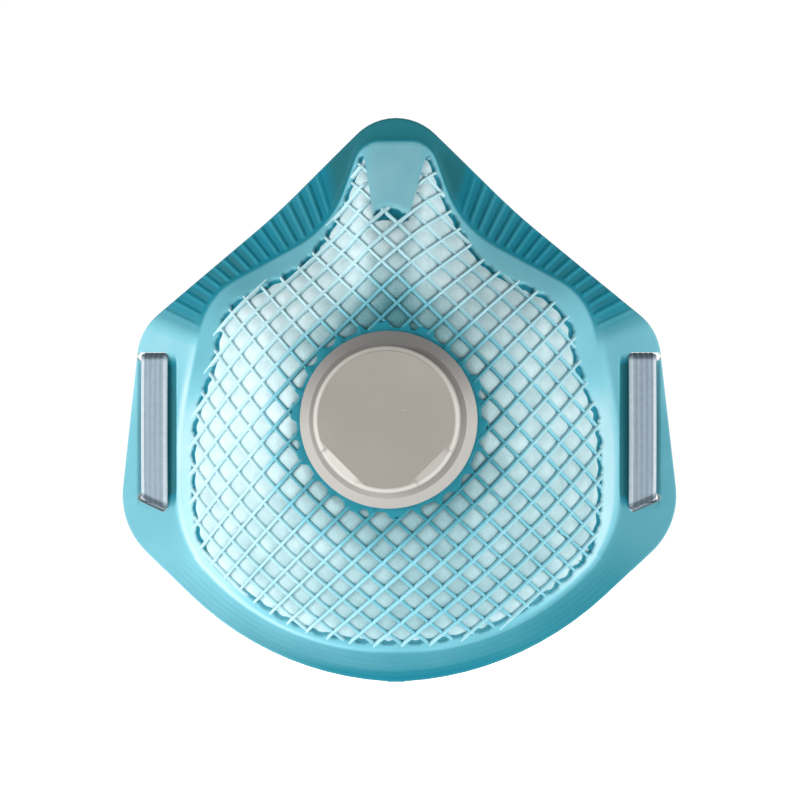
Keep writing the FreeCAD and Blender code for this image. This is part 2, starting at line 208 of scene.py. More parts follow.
# ---------------------------------------------------------------- camera, light and stage
def make_camera():
    """Level, and a few degrees to one side; the distance is a guess from the valve's size."""
    data = bpy.data.cameras.new("camera")
    camera = bpy.data.objects.new("camera", data)
    bpy.context.scene.collection.objects.link(camera)
    turn = math.radians(CAMERA_AZIMUTH)
    aim = Vector(CAMERA_AIM)
    behind = Vector((math.sin(turn), -math.cos(turn), 0))
    camera.location = aim + behind * CAMERA_DISTANCE
    camera.rotation_euler = (math.radians(90), 0, turn)
    data.sensor_width = SENSOR_WIDTH
    data.lens = data.sensor_width * CAMERA_DISTANCE / VIEW_WIDTH
    bpy.context.scene.camera = camera


def make_light(name, place, size, power):
    data = bpy.data.lights.new(name, "AREA")
    data.shape = "RECTANGLE"
    data.size = size[0]
    data.size_y = size[1]
    data.energy = power
    light = bpy.data.objects.new(name, data)
    light.location = place
    towards = Vector((0, 0, 0)) - Vector(place)
    light.rotation_euler = towards.to_track_quat("-Z", "Y").to_euler()
    bpy.context.scene.collection.objects.link(light)


def make_stage():
    floor_z = cad_box[0].z - FLOOR_GAP
    mesh = bpy.data.meshes.new("floor")
    points = []
    for index in range(FLOOR_CORNERS):
        turn = 2 * math.pi * index / FLOOR_CORNERS
        points.append((FLOOR_RADIUS * math.cos(turn), FLOOR_RADIUS * math.sin(turn), floor_z))
    mesh.from_pydata(points, [], [list(range(FLOOR_CORNERS))])
    floor = bpy.data.objects.new("floor", mesh)
    bpy.context.scene.collection.objects.link(floor)
    paint = bpy.data.materials.new("floor_paint")
    paint.use_nodes = True
    shader = paint.node_tree.nodes["Principled BSDF"]
    shader.inputs["Base Color"].default_value = (0.93, 0.93, 0.93, 1)
    shader.inputs["Roughness"].default_value = 0.7
    shader.inputs["Emission Color"].default_value = (1, 1, 1, 1)
    shader.inputs["Emission Strength"].default_value = TABLE_GLOW
    mesh.materials.append(paint)
    bpy.context.scene.view_settings.view_transform = "Standard"


def make_world():
    """A white studio whose ceiling, and the wall behind the camera, are dimmer."""
    world = bpy.data.worlds.new("studio")
    world.use_nodes = True
    bpy.context.scene.world = world
    nodes = world.node_tree.nodes
    links = world.node_tree.links
    heading = nodes.new("ShaderNodeSeparateXYZ")
    links.new(nodes.new("ShaderNodeTexCoord").outputs["Generated"], heading.inputs[0])
    strength = None
    for axis, (start, end), dimmed in (("Z", CEILING_FADE, CEILING),
                                       ("Y", WALL_FADE, FRONT_WALL)):
        fade = nodes.new("ShaderNodeMapRange")
        fade.interpolation_type = "SMOOTHSTEP"
        for socket, value in (("From Min", start), ("From Max", end), ("To Min", 1.0),
                              ("To Max", dimmed)):
            fade.inputs[socket].default_value = value
        links.new(heading.outputs[axis], fade.inputs["Value"])
        if strength is None:
            strength = fade.outputs["Result"]
            continue
        product = nodes.new("ShaderNodeMath")
        product.operation = "MULTIPLY"
        links.new(strength, product.inputs[0])
        links.new(fade.outputs["Result"], product.inputs[1])
        strength = product.outputs[0]
    scaled = nodes.new("ShaderNodeMath")
    scaled.operation = "MULTIPLY"
    scaled.inputs[1].default_value = WORLD_STRENGTH
    links.new(strength, scaled.inputs[0])
    links.new(scaled.outputs[0], nodes["Background"].inputs["Strength"])
    nodes["Background"].inputs["Color"].default_value = (1, 1, 1, 1)


# ---------------------------------------------------------------- the shell's surface
def mirrored(corners):
    """Both halves of an outline given by its right half."""
    return corners + [(-x, z, radius) for x, z, radius in reversed(corners) if x > 0]


def rounded(corners):
    """Points (x, z) along a closed outline whose corners are rounded by arcs."""
    points = []
    for index, (x, z, radius) in enumerate(corners):
        corner = Vector((x, z))
        before = corners[index - 1]
        after = corners[(index + 1) % len(corners)]
        back = (Vector(before[:2]) - corner).normalized()
        ahead = (Vector(after[:2]) - corner).normalized()
        half = back.angle(ahead) / 2
        centre = corner + (back + ahead).normalized() * (radius / math.sin(half))
        first = corner + back * (radius / math.tan(half)) - centre
        last = corner + ahead * (radius / math.tan(half)) - centre
        sweep = first.angle(last)
        for step in range(ARC_STEPS + 1):
            share = step / ARC_STEPS
            spoke = first * math.sin((1 - share) * sweep) + last * math.sin(share * sweep)
            points.append(centre + spoke / math.sin(sweep))
    return np.array(points)


def reach_table(corners):
    """Distance from the valve's axis to the outline at each of ANGLES."""
    outline = rounded(mirrored(corners)) - np.array([0.0, VALVE_Z])
    start = np.roll(outline, 1, axis=0)
    ray_x = np.sin(ANGLES)[:, None]
    ray_z = np.cos(ANGLES)[:, None]
    side_start = ray_x * start[:, 1] - ray_z * start[:, 0]
    side_end = ray_x * outline[:, 1] - ray_z * outline[:, 0]
    ahead = (ray_x * start[:, 0] + ray_z * start[:, 1]) > 0
    crossed = (side_start * side_end <= 0) & (side_start != side_end) & ahead
    share = np.where(crossed, side_start / np.where(crossed, side_start - side_end, 1), 0)
    x = start[:, 0] + (outline[:, 0] - start[:, 0]) * share
    z = start[:, 1] + (outline[:, 1] - start[:, 1]) * share
    return np.max(np.where(crossed, np.hypot(x, z), 0), axis=1)


ANGLES = np.linspace(0, 2 * math.pi, 2881)
RIM_REACH = reach_table(RIM_CORNERS)
BASE_REACH = reach_table(BASE_CORNERS)


def rim_reach(angle):
    return np.interp(np.mod(angle, 2 * math.pi), ANGLES, RIM_REACH)


def base_reach(angle):
    return np.interp(np.mod(angle, 2 * math.pi), ANGLES, BASE_REACH)


def front_y(x, z):
    """Depth of the moulded shell's front surface over the point (x, z)."""
    angle = np.arctan2(x, z - VALVE_Z)
    radius = np.hypot(x, z - VALVE_Z)
    inner = base_reach(angle)
    step = (inner - radius) / (inner - LAND_RADIUS)
    step = (step + np.sqrt(step * step + BASE_FILLET ** 2)) / 2
    step = np.clip(step, 0, 1)
    nose = np.maximum(0, np.cos(angle)) ** NOSE_NARROWING
    shape = SIDE_SHAPE + (NOSE_SHAPE - SIDE_SHAPE) * nose
    base_x = np.maximum(radius, inner) * np.sin(angle)
    base_y = RIM_BEND * base_x ** 2 - FLANGE_DEPTH
    rise = 1 - (1 - step) ** shape
    ridge = (RIDGE_HEIGHT * np.exp(-(x / RIDGE_WIDTH) ** 2)
             * np.exp(-((z - RIDGE_Z) / RIDGE_LENGTH) ** 2) * rise
             * (1 - step ** RIDGE_RUNOUT))
    return base_y + (LAND_Y - base_y) * rise - ridge


def shell_points(x, z, depth, nudge=0.15):
    """Points at a depth behind the shell's front surface, along its normal; depth < 0 is proud."""
    y = front_y(x, z)
    slope_x = (front_y(x + nudge, z) - front_y(x - nudge, z)) / (2 * nudge)
    slope_z = (front_y(x, z + nudge) - front_y(x, z - nudge)) / (2 * nudge)
    length = np.sqrt(slope_x ** 2 + slope_z ** 2 + 1)
    points = np.stack([x, y, z], axis=-1)
    normal = np.stack([-slope_x, np.ones_like(y), -slope_z], axis=-1) / length[..., None]
    return points + normal * np.asarray(depth)[..., None]


def polar_points(angle, radius, depth, nudge=0.15):
    x = radius * np.sin(angle)
    z = VALVE_Z + radius * np.cos(angle)
    return shell_points(x, z, depth, nudge)


def smoothstep(value, low, high):
    """0 below low and 1 above high, with a smooth rise between them."""
    share = np.clip((value - low) / (high - low), 0, 1)
    return share * share * (3 - 2 * share)


# ---------------------------------------------------------------- mesh helpers
def mesh_object(name, points, faces):
    """A smooth-shaded object from points in millimetres."""
    mesh = bpy.data.meshes.new(name)
    mesh.from_pydata((np.asarray(points) * MM).tolist(), [], faces)
    mesh.validate()
    mesh.update()
    mesh.shade_smooth()
    piece = bpy.data.objects.new(name, mesh)
    bpy.context.scene.collection.objects.link(piece)
    return piece


def grid_faces(rows, columns, close_rows, close_columns, first=0):
    """Quads over a grid of rows by columns of points, row by row."""
    faces = []
    row_end = rows if close_rows else rows - 1
    column_end = columns if close_columns else columns - 1
    for row in range(row_end):
        below = (row + 1) % rows
        for column in range(column_end):
            right = (column + 1) % columns
            faces.append((first + row * columns + column, first + row * columns + right,
                          first + below * columns + right, first + below * columns + column))
    return faces


# ---------------------------------------------------------------- the net's layout
def turn_from_top(angle):
    """Degrees from the nose, either way round."""
    return np.degrees(np.abs(np.mod(angle + math.pi, 2 * math.pi) - math.pi))


def flat_radius(radius, angle):
    """Distance from the valve's axis before the flat net was pressed over the dome."""
    past = np.maximum(radius - LAND_RADIUS, 0)
    return radius + NET_STRETCH / 2 * past ** 2 / (base_reach(angle) - LAND_RADIUS)


def pressed_radius(flat, angle):
    """The reverse of flat_radius."""
    rate = NET_STRETCH / 2 / (base_reach(angle) - LAND_RADIUS)
    past = np.maximum(flat - LAND_RADIUS, 0)
    pressed = (np.sqrt(1 + 4 * rate * past) - 1) / (2 * rate)
    return np.where(flat > LAND_RADIUS, LAND_RADIUS + pressed, flat)


def cell_middle(radius, angle):
    """1 in the middle of a cell of the net and 0 under its strands."""
    flat = flat_radius(radius, angle)
    rise = flat * np.sin(angle + math.pi / 4) / STRAND_PITCH
    fall = flat * np.sin(angle - math.pi / 4) / STRAND_PITCH
    return np.abs(np.sin(math.pi * rise)) * np.abs(np.sin(math.pi * (fall + 0.5)))


def plain_border(angle):
    """Width of the smooth border inside the dome's base: shoulders, sides and chin."""
    turn = turn_from_top(angle)
    return (1.3 + 3.6 * smoothstep(turn, 14, 36) - 2.1 * smoothstep(turn, 72, 92)
            - 1.3 * smoothstep(turn, 108, 128) - 0.5 * smoothstep(turn, 140, 160))


def border_width(angle):
    """The same with the smooth patch that runs down the nose."""
    turn = turn_from_top(angle)
    width = plain_border(angle)
    aside = (PATCH_END_RADIUS * np.sin(angle) - NOSE_HOLE_X) / NOSE_HOLE_HALF
    arch = NOSE_HOLE_RISE * np.sqrt(np.clip(1 - aside * aside, 0, 1)) * (turn < 20)
    patch = base_reach(angle) - PATCH_END_RADIUS - arch
    return width + (patch - width) * (1 - smoothstep(turn, 4.9, 7.2))


def closed_reach(angle):
    """How much further in the border runs between its open cells."""
    chin = smoothstep(turn_from_top(angle), 112, 135)
    return CLOSED_REACH + (CLOSED_CHIN - CLOSED_REACH) * chin


def nose_hole(angle):
    """1 over the hole at the nose patch's lower edge, 0 beside it."""
    return 1 - smoothstep(turn_from_top(angle), 4.2, 5.2)


def open_cells(angle):
    """1 where a cell of the net is cut open by the border, 0 where the border closes it."""
    edge = base_reach(angle) - border_width(angle)
    cells = smoothstep(cell_middle(edge - 0.3, angle), 0.25, 0.8)
    return np.maximum(cells * smoothstep(turn_from_top(angle), 6.5, 8.5), nose_hole(angle))


# ---------------------------------------------------------------- the moulded shell
def rib_lift(angle, share):
    """Height of the flange's cross ribs; share runs from 0 at the rim to 1 at the base."""
    turn = turn_from_top(angle)
    wave = np.cos(2 * math.pi * np.radians(turn) * RIB_RADIUS / RIB_PITCH)
    ridge = smoothstep(wave, 0.0, 0.95)
    along = smoothstep(turn, 15, 21) * (1 - smoothstep(turn, 63, 67))
    across = smoothstep(share, 0.01, 0.06) * (1 - smoothstep(share, 0.9, 1.0))
    return RIB_HEIGHT * ridge * along * across


def strap_channel(x, z):
    """1 in the shallow channel that each strap lies in, 0 outside it."""
    side = np.abs(x) - STRAP_X
    return (smoothstep(side, -5.5, -4.9) * (1 - smoothstep(side, 3.9, 4.5))
            * smoothstep(z, LOW_SLIT_Z - 2.0, LOW_SLIT_Z + 3.5)
            * (1 - smoothstep(z, TOP_SLIT_Z - 2.5, TOP_SLIT_Z + 1.0)))


def flange_tone(angle, share):
    """How deep the teal on the flange is, from 0 for pale to 1 for dark: darkest on the upper
    flange, with painted light making the left side paler and painted shade darkening the chin's
    outer edge.
    """
    turn = turn_from_top(angle)
    wing = smoothstep(turn, 60, 71)
    low = smoothstep(turn, 110, 132)
    chin = smoothstep(turn, 140, 176)
    upper = 0.97 - 0.12 * np.exp(-((turn - 27) / 8) ** 2)
    upper = upper + 0.12 * (1 - smoothstep(turn, 8, 18))
    # painted light: the left side is paler
    left = np.clip(-np.sin(angle), 0, 1)
    middle = 0.31 - 0.15 * left + 0.14 * smoothstep(turn, 72, 100)
    tone = upper + (middle - upper) * wing
    tone = tone + (0.60 + 0.1 * (1 - share) - 0.48 * left - tone) * low
    # painted shade along the chin's outer edge, where it curls back
    tone = tone + chin * (0.3 * (1 - smoothstep(share, 0.1, 0.5)) - 0.1)
    near_base = smoothstep(share, 0.88, 1.0)
    return tone - 0.25 * near_base * smoothstep(turn, 66, 90)


def border_tone(angle):
    """Depth of the teal on the border inside the dome's base."""
    turn = turn_from_top(angle)
    left = np.sin(angle) < 0
    tone = 0.27 + 0.1 * left * smoothstep(turn, 30, 45)
    tone = tone - (tone - 0.08) * smoothstep(turn, 72, 92) + 0.2 * smoothstep(turn, 128, 155)
    return tone - 0.1 * (1 - smoothstep(turn, 5, 8))


def curl(distance, radius):
    """Drop of a rounded edge at a distance in from it."""
    share = np.clip(1 - distance / radius, 0, 1)
    return radius * (1 - np.sqrt(1 - share * share))


def shell_rows(angle):
    """Rows of (radius, depth, tone) from the rim in to under the net and back out behind."""
    outer = rim_reach(angle)
    inner = base_reach(angle)
    opened = open_cells(angle)
    edge = inner - border_width(angle) - closed_reach(angle) * (1 - opened)
    under = (inner - border_width(angle) - closed_reach(angle) - 0.5
             - NOSE_HOLE_DROP * nose_hole(angle))
    rows = []
    for share in np.concatenate([[0, 0.012, 0.03], np.linspace(0.055, 1, 40)]):
        radius = outer + (inner - outer) * share
        x = radius * np.sin(angle)
        z = VALVE_Z + radius * np.cos(angle)
        lines = LINE_HEIGHT * np.cos(2 * math.pi * (outer - radius) / LINE_PITCH)
        lines = lines * smoothstep(turn_from_top(angle), 118, 128)
        depth = (curl((outer - inner) * share, RIM_ROUNDING) - rib_lift(angle, share) + lines
                 + CHANNEL_DEPTH * strap_channel(x, z))
        # painted shade on the inner side of the strap channel, between the strap and the dome's
        # wall
        groove_shade = strap_channel(x, z) * (np.abs(x) < STRAP_X - STRAP_WIDTH / 2 + 1)
        tone = flange_tone(angle, share) + 0.8 * groove_shade
        # painted highlight: the ribs' crests are paler
        tone = tone - 0.16 * rib_lift(angle, share) / RIB_HEIGHT
        rows.append((radius, depth, tone))
    for share in np.linspace(0, 1, 22)[1:]:
        radius = inner + (edge - inner) * share
        depth = curl((inner - edge) * (1 - share), BORDER_ROUNDING)
        blend = smoothstep(share * (inner - edge), 0.0, 1.1)
        tone = flange_tone(angle, 1.0) * (1 - blend) + border_tone(angle) * blend
        rows.append((radius, depth, tone))
    full = np.ones_like(angle)
    # the open cells' recess is deep teal: partly a thin teal film, partly painted shade in the
    # recess
    recess = 0.95 - 0.4 * smoothstep(turn_from_top(angle), 115, 140)
    for share in (0.06, 0.5, 1.0):
        radius = edge + (under - edge) * share
        rows.append((radius, RECESS_DEPTH * full, recess))
    rows.append((under, NET_THICK * full, recess))
    for share in np.linspace(0.03, 0.99, 34):
        rows.append((under + (outer - under) * share, NET_THICK * full, 0.6 * full))
    return rows


def make_shell():
    """The moulded flange, its shoulders and nose patch, as one closed section swept round."""
    columns = 1440
    angle = np.linspace(0, 2 * math.pi, columns, endpoint=False)
    rows = shell_rows(angle)
    points = np.concatenate([polar_points(angle, radius, depth) for radius, depth, _ in rows])
    shell = mesh_object("net_shell", points, grid_faces(len(rows), columns, True, True))
    set_tone(shell, np.concatenate([tone for _, _, tone in rows]))
    shell.data.flip_normals()
    cut_slits(shell)
    return shell


def cut_slits(piece):
    for side in (-1, 1):
        cut_slit(piece, side, TOP_SLIT_Z, 0)
        cut_slit(piece, side, LOW_SLIT_Z, LOW_SLIT_SLANT)


def cut_slit(piece, side, z, slant):
    """A slit through a wing for the strap, with rounded ends."""
    tilt = math.atan(2 * RIM_BEND * STRAP_X) * side
    place = (Matrix.Translation(Vector((side * STRAP_X, RIM_BEND * STRAP_X ** 2, z)) * MM)
             @ Matrix.Rotation(tilt, 4, "Z") @ Matrix.Rotation(-math.radians(slant) * side, 4, "Y"))
    half = SLIT_WIDTH / 2 - SLIT_HEIGHT / 2
    outline = []
    for centre, start in ((half, -90), (-half, 90)):
        for step in range(9):
            turn = math.radians(start + 180 * step / 8)
            outline.append((centre + SLIT_HEIGHT / 2 * math.cos(turn),
                            SLIT_HEIGHT / 2 * math.sin(turn)))
    count = len(outline)
    points = [place @ (Vector((x, y, z)) * MM) for y in (-SLIT_REACH, SLIT_REACH)
              for x, z in outline]
    mesh = bpy.data.meshes.new("slit")
    faces = [tuple(range(count)), tuple(range(2 * count - 1, count - 1, -1))]
    faces += [(i, count + i, count + (i + 1) % count, (i + 1) % count) for i in range(count)]
    mesh.from_pydata([tuple(point) for point in points], [], faces)
    cutter = bpy.data.objects.new("slit", mesh)
    bpy.context.scene.collection.objects.link(cutter)
    modifier = piece.modifiers.new("slit", "BOOLEAN")
    modifier.operation = "DIFFERENCE"
    modifier.solver = "EXACT"
    modifier.object = cutter
    bake_modifiers(piece)
    bpy.data.objects.remove(cutter)


def bake_modifiers(piece):
    """Puts what the piece's modifiers make into its own mesh."""
    graph = bpy.context.evaluated_depsgraph_get()
    graph.update()
    baked = bpy.data.meshes.new_from_object(piece.evaluated_get(graph))
    piece.modifiers.clear()
    piece.data = baked


# ---------------------------------------------------------------- strands and web
def make_strands(name, rising, behind):
    """One diagonal family of strands: half-round bars pressed over the dome."""
    section = STRAND_SECTION
    angles = []
    radii = []
    depths = []
    tones = []
    faces = []
    heading = math.pi / 4 if rising else -math.pi / 4
    phase = 0.0 if rising else 0.5
    run_step = 0.7
    run = np.arange(-95, 95.1, run_step)
    for index in range(-16, 17):
        offset = (index + phase) * STRAND_PITCH
        angle = np.arctan2(offset, run) - heading
        flat = np.hypot(offset, run)
        radius = pressed_radius(flat, angle)
        edge = base_reach(angle) - border_width(angle)
        inside = (radius < edge + STRAND_OVERLAP) & (radius > LAND_RADIUS - 1.2)
        change = np.diff(np.concatenate([[0], inside.astype(int), [0]]))
        for start, end in zip(np.flatnonzero(change == 1), np.flatnonzero(change == -1)):
            if end - start < 5:
                continue
            first = len(angles) * len(section)
            steps = np.arange(end - start)
            ends = np.minimum(steps, end - start - 1 - steps) * run_step
            sink = END_SINK * (1 - smoothstep(ends, 0, END_LENGTH))
            for step in range(start, end):
                along = run[step]
                row_angle = []
                row_radius = []
                for share, _ in section:
                    side = offset + share * STRAND_WIDTH
                    spot = math.atan2(side, along) - heading
                    row_angle.append(spot)
                    row_radius.append(float(pressed_radius(np.hypot(side, along), spot)))
                angles.append(row_angle)
                radii.append(row_radius)
                depths.append([drop * STRAND_HEIGHT + behind + sink[step - start]
                               for _, drop in section])
                tones.append([float(strand_tone(radius[step], angle[step], rising))]
                             * len(section))
            rows = end - start
            faces += grid_faces(rows, len(section), False, True, first)
            last = first + (rows - 1) * len(section)
            faces.append(tuple(range(first + len(section) - 1, first - 1, -1)))
            faces.append(tuple(range(last, last + len(section))))
    points = polar_points(np.array(angles), np.array(radii), np.array(depths)).reshape(-1, 3)
    strands = mesh_object(name, points, faces)
    set_tone(strands, np.array(tones).reshape(-1))
    return strands


def strand_tone(radius, angle, rising):
    """Strands are pale towards the border; painted shade makes them deep teal round the valve,
    darker to the right and below, and darker still on the rising family towards the lower right.
    """
    out = (radius - LAND_RADIUS) / (base_reach(angle) - LAND_RADIUS)
    right = np.sin(angle)
    low = np.clip(-np.cos(angle), 0, 1)
    # painted shade: darker near the valve, to the right and below
    tone = 0.5 - 0.47 * smoothstep(out, 0.0, 0.4) + 0.07 * right + 0.12 * low
    tone = tone - 0.1 * smoothstep(out, 0.8, 1.0)
    # painted shade on the rising family towards the lower right
    if rising:
        tone = tone + 0.1 * smoothstep(right + low, 0.3, 1.3)
    return np.clip(tone, 0.0, 1)


def make_collar():
    """The net's solid ring under the valve."""
    columns = 360
    angle = np.linspace(0, 2 * math.pi, columns, endpoint=False)
    filled = 1 - smoothstep(cell_middle(23.4, angle), 0.15, 0.55)
    outer = COLLAR_RADIUS + COLLAR_FILL * filled
    profile = [(HOLE_RADIUS, NET_THICK), (HOLE_RADIUS, 0.2), (HOLE_RADIUS + 0.2, 0.0),
               (outer - 0.45, 0.0), (outer - 0.1, 0.15), (outer, 0.5), (outer, NET_THICK)]
    rows = [polar_points(angle, radius * np.ones(columns), np.full(columns, depth))
            for radius, depth in profile]
    collar = mesh_object("net_collar", np.concatenate(rows),
                         grid_faces(len(rows), columns, True, True))
    set_tone(collar, np.full(columns * len(rows), 0.8))
    return collar


def make_web():
    """The cover web, pressed back by the strands and bulging out through the net's cells."""
    columns = 960
    rows = 130
    angle = np.linspace(0, 2 * math.pi, columns, endpoint=False)[None, :]
    share = np.linspace(0, 1, rows)[:, None]
    turn = turn_from_top(angle)
    outer = base_reach(angle) - plain_border(angle) - closed_reach(angle) - 0.1
    radius = outer + (HOLE_RADIUS + 0.6 - outer) * share
    bulge = cell_middle(radius, angle) ** 0.6
    near = smoothstep(radius, LAND_RADIUS - 1, LAND_RADIUS + 2)
    fade = near * (0.25 + 0.75 * smoothstep(outer - radius, 0.0, 2.0))
    patch_end = PATCH_END_RADIUS - CLOSED_REACH - NOSE_HOLE_DROP
    hidden = (1 - smoothstep(turn, 4.6, 5.4)) * smoothstep(radius, patch_end, patch_end + 0.3)
    depth = WEB_REST - WEB_BULGE * bulge * fade + 1.2 * hidden
    front = polar_points(angle, radius, depth)
    back = polar_points(angle, radius, depth + WEB_THICK)
    points = np.concatenate([front.reshape(-1, 3), back[::-1].reshape(-1, 3)])
    web = mesh_object("web_cloth", points, grid_faces(2 * rows, columns, True, True))
    # the web's tone is painted shade
    shade = web_painted_shade(radius, angle)
    set_tone(web, np.concatenate([shade.reshape(-1), shade[::-1].reshape(-1)]))
    return web


def web_painted_shade(radius, angle):
    """Painted shade on the web: darker to the right and below the valve, darker near the valve and
    darkest just above it, where the valve's shadow is painted.
    """
    out = (radius - LAND_RADIUS) / (base_reach(angle) - LAND_RADIUS)
    low = np.clip(-np.cos(angle), 0, 1)
    right = np.sin(angle)
    near = 1 - smoothstep(out, 0.0, 0.5)
    above = np.clip(np.cos(angle), 0, 1)
    return np.clip(0.2 + 0.1 * right + 0.34 * low * (1 - smoothstep(out, 0.75, 1.0))
                   + near * (0.1 + 0.75 * above ** 3), 0, 1)


# ---------------------------------------------------------------- elastic
def ribbon(name, centres, widths, outward, dark=None):
    """A woven elastic ribbon along centres; widths and outward are unit directions."""
    across = np.linspace(-1, 1, 29)
    half_width = STRAP_WIDTH / 2
    ribs = 0.09 * np.cos(across * math.pi * 5) * (np.abs(across) < 0.8)
    half = STRAP_THICK / 2 * (1 - 0.35 * smoothstep(np.abs(across), 0.8, 1.0)) - 0.06 + ribs
    loop_across = np.concatenate([across, across[::-1]])
    loop_out = np.concatenate([half, -half[::-1]])
    count = len(loop_across)
    aside = loop_across * half_width
    points = (centres[:, None, :] + widths[:, None, :] * aside[None, :, None]
              + outward[:, None, :] * loop_out[None, :, None])
    rows = len(centres)
    faces = grid_faces(rows, count, False, True)
    faces.append(tuple(range(count - 1, -1, -1)))
    faces.append(tuple(range((rows - 1) * count, rows * count)))
    strap = mesh_object(name, points.reshape(-1, 3), faces)
    along = lengths_along(centres)
    weave_and_shade = np.zeros((rows, count, 3))
    weave_and_shade[:, :, 0] = aside[None, :]
    weave_and_shade[:, :, 1] = along[:, None]
    # the third component is painted shade near the slits
    weave_and_shade[:, :, 2] = dark[:, None] if dark is not None else 0
    layer = strap.data.attributes.new("weave_and_shade", "FLOAT_VECTOR", "POINT")
    layer.data.foreach_set("vector", weave_and_shade.reshape(-1))
    return strap


def lengths_along(places):
    """Length of a polyline from its start to each of its places."""
    steps = np.linalg.norm(np.diff(places, axis=0), axis=1)
    return np.concatenate([[0], np.cumsum(steps)])


def resample(path, spacing):
    """Even steps along a polyline of rows of numbers whose first three are a place."""
    length = lengths_along(path[:, :3])
    steps = np.linspace(0, length[-1], max(2, int(length[-1] / spacing) + 1))
    return np.stack([np.interp(steps, length, path[:, k]) for k in range(path.shape[1])], axis=1)


def unit(vectors):
    return vectors / np.linalg.norm(vectors, axis=-1, keepdims=True)


def make_pass(side):
    """The strap down the front of a wing; both ends fold back into the slits."""
    tilt = math.atan(2 * RIM_BEND * STRAP_X)
    across = np.array([math.cos(tilt), side * math.sin(tilt), 0])
    forward = np.array([side * math.sin(tilt), -math.cos(tilt), 0])
    surface = np.array([side * STRAP_X, RIM_BEND * STRAP_X ** 2 - FLANGE_DEPTH, 0])
    lift = STRAP_THICK / 2 - 0.3
    fold = STRAP_FOLD
    top = TOP_SLIT_Z + 0.4
    path = [(-STRAP_SINK, top, 0.0)]
    for step in range(9):
        turn = math.radians(90 * step / 8)
        path.append((lift - fold + fold * math.sin(turn),
                     top - fold + fold * math.cos(turn), 0.0))
    for step in range(1, 12):
        share = step / 12
        z = top - fold + (LOW_SLIT_Z + fold - top + fold) * share
        path.append((lift + 0.2 * math.sin(math.pi * share), z, max(0, share - 0.7) / 0.3))
    for step in range(9):
        turn = math.radians(90 * step / 8)
        path.append((lift - fold + fold * math.cos(turn),
                     LOW_SLIT_Z + fold - fold * math.sin(turn), 1.0))
    path.append((-STRAP_SINK, LOW_SLIT_Z, 1.0))
    rows = resample(np.array([(out, z, 0.0, slant) for out, z, slant in path]), 0.3)
    slope = math.tan(math.radians(LOW_SLIT_SLANT))
    centres = surface + forward * rows[:, :1] + np.array([0, 0, 1.0]) * rows[:, 1:2]
    widths = across + np.array([0, 0, 1.0]) * (side * slope * smoothstep(rows[:, 3:4], 0, 1))
    tangents = unit(np.gradient(centres, axis=0))
    outward = unit(np.cross(widths, tangents))
    if outward[len(outward) // 2] @ forward < 0:
        outward = -outward
    # painted shade: the strap is darker where it goes into the slits
    from_slit = np.minimum(rows[0, 1] - rows[:, 1], rows[:, 1] - LOW_SLIT_Z)
    dark = 1 - smoothstep(from_slit, 0.2, 1.5)
    return ribbon("strap_left" if side < 0 else "strap_right", centres, widths, outward, dark)


def make_loop(name, slit_z, depth, droop, slant):
    """A loop of elastic from slit to slit round the back of the head."""
    tilt = math.atan(2 * RIM_BEND * STRAP_X)
    rows = []
    count = 240
    for index in range(count + 1):
        turn = math.pi * index / count
        centre = np.array([STRAP_X * math.cos(turn), depth * math.sin(turn), 0])
        tangent = unit(np.array([-STRAP_X * math.sin(turn), depth * math.cos(turn), 0]))
        normal = np.array([0, 0, 1.0])
        share = min(1.0, min(turn, math.pi - turn) / (math.pi * TWIST_SHARE))
        twist = math.pi / 2 * share * share * (3 - 2 * share)
        side = 1 if turn < math.pi / 2 else -1
        width = np.cross(tangent, normal) * math.cos(twist) + normal * side * math.sin(twist)
        if turn > math.pi / 2:
            width = -width
        rows.append(np.concatenate([centre, width]))
    rows = np.array(rows)
    lean = math.radians(-droop)
    spin = np.array([[1, 0, 0], [0, math.cos(lean), -math.sin(lean)],
                     [0, math.sin(lean), math.cos(lean)]])
    rows[:, :3] = (rows[:, :3] + np.array([0, LOOP_START, 0])) @ spin.T
    rows[:, :3] += np.array([0, HINGE_Y, slit_z])
    rows[:, 3:] = rows[:, 3:] @ spin.T
    first = []
    for place in (-LOOP_LEAD, -2.6, -1.8, -1.0):
        share = -place / LOOP_LEAD
        angle = tilt * share
        lowered = math.tan(math.radians(slant)) * share
        first.append([STRAP_X, HINGE_Y + place, slit_z,
                      math.cos(angle), math.sin(angle), lowered])
    first = np.array(first)
    last = first[::-1] * np.array([-1, 1, 1, -1, 1, 1])
    joined = np.concatenate([first, rows, last])
    flips = np.sign(np.sum(joined[1:, 3:] * joined[:-1, 3:], axis=1))
    joined[1:, 3:] *= np.cumprod(flips)[:, None]
    joined = resample(joined, 0.6)
    centres = joined[:, :3]
    widths = unit(joined[:, 3:])
    tangents = unit(np.gradient(centres, axis=0))
    widths = unit(widths - tangents * np.sum(widths * tangents, axis=1)[:, None])
    outward = np.cross(tangents, widths)
    return ribbon(name, centres, widths, outward)


